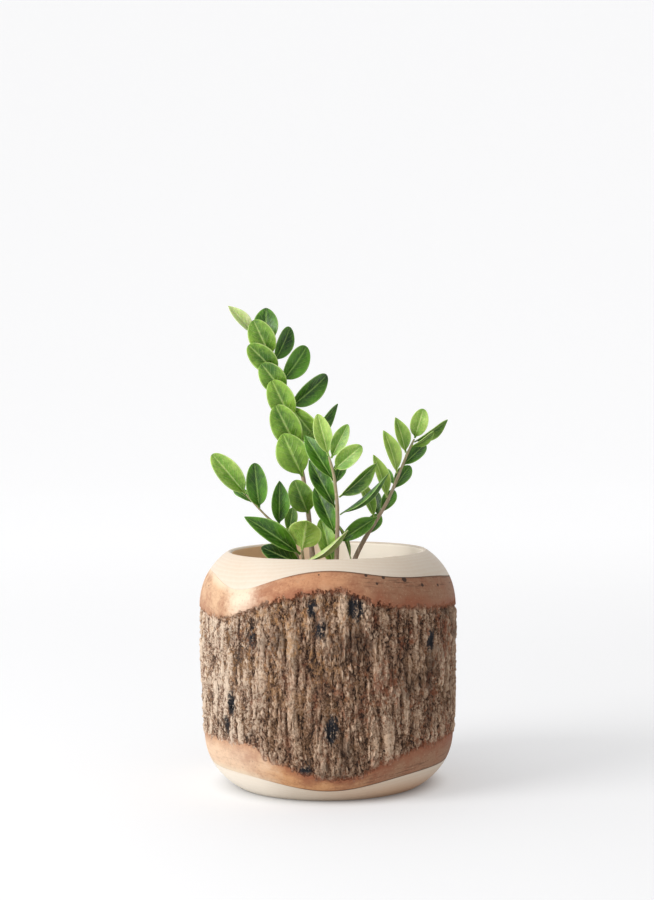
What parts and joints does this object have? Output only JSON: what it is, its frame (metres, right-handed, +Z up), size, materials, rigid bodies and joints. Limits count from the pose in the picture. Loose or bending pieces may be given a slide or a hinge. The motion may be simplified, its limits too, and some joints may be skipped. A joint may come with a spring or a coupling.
{
  "type": "potted zz plant",
  "caption": "Young ZZ plant with glossy leaflets on arching stalks, in a rounded pot turned from a log with a band of bark left on.",
  "frame": {"origin": "centre of the flat foot that the pot stands on", "axes": "+Z up along the pot's turning axis, -Y to the front, +X to the right seen from the front"},
  "size_m": [0.1987, 0.1939, 0.3732],
  "materials": {
    "sapwood": "turned and sanded pale sapwood, satin",
    "bark": "rough furrowed bark with orange-brown inner bark bared at its turned edges",
    "soil": "dark moist potting soil",
    "rhizome": "pale brown papery skin",
    "stalk": "tan-brown to green waxy leaf stalk",
    "leaf_dark": "waxy dark green",
    "leaf_mid": "waxy mid green",
    "leaf_light": "waxy bright green",
    "leaf_pale": "waxy pale green, new growth"
  },
  "bodies": {
    "root": {"pot_wood": "sapwood", "bark_band": "bark", "soil": "soil", "rhizome": "rhizome", "tall_stalk": "stalk", "tall_leaflet_01": "leaf_pale", "tall_leaflet_02": "leaf_dark", "tall_leaflet_03": "leaf_mid", "tall_leaflet_04": "leaf_mid", "tall_leaflet_05": "leaf_mid", "tall_leaflet_06": "leaf_mid", "tall_leaflet_07": "leaf_mid", "tall_leaflet_08": "leaf_mid", "tall_leaflet_09": "leaf_mid", "tall_leaflet_10": "leaf_dark", "tall_leaflet_11": "leaf_dark", "tall_leaflet_12": "leaf_dark", "tall_leaflet_13": "leaf_dark", "tall_leaflet_14": "leaf_mid", "left_stalk": "stalk", "left_leaflet_01": "leaf_light", "left_leaflet_02": "leaf_dark", "left_leaflet_03": "leaf_dark", "left_leaflet_04": "leaf_dark", "left_leaflet_05": "leaf_mid", "left_leaflet_06": "leaf_light", "front_stalk": "stalk", "front_leaflet_01": "leaf_light", "front_leaflet_02": "leaf_dark", "front_leaflet_03": "leaf_dark", "front_leaflet_04": "leaf_pale", "middle_stalk": "stalk", "middle_leaflet_01": "leaf_light", "middle_leaflet_02": "leaf_light", "middle_leaflet_03": "leaf_light", "middle_leaflet_04": "leaf_mid", "middle_leaflet_05": "leaf_dark", "middle_leaflet_06": "leaf_dark", "middle_leaflet_07": "leaf_dark", "middle_leaflet_08": "leaf_dark", "middle_leaflet_09": "leaf_dark", "middle_leaflet_10": "leaf_mid", "right_stalk": "stalk", "right_leaflet_01": "leaf_light", "right_leaflet_02": "leaf_light", "right_leaflet_03": "leaf_light", "right_leaflet_04": "leaf_mid", "right_leaflet_05": "leaf_mid", "right_leaflet_06": "leaf_dark", "right_leaflet_07": "leaf_dark", "right_leaflet_08": "leaf_dark", "right_leaflet_09": "leaf_dark", "right_leaflet_10": "leaf_dark", "right_leaflet_11": "leaf_light", "right_leaflet_12": "leaf_light", "right_leaflet_13": "leaf_dark", "right_leaflet_14": "leaf_dark", "right_leaflet_15": "leaf_mid"}
  },
  "joints": []
}
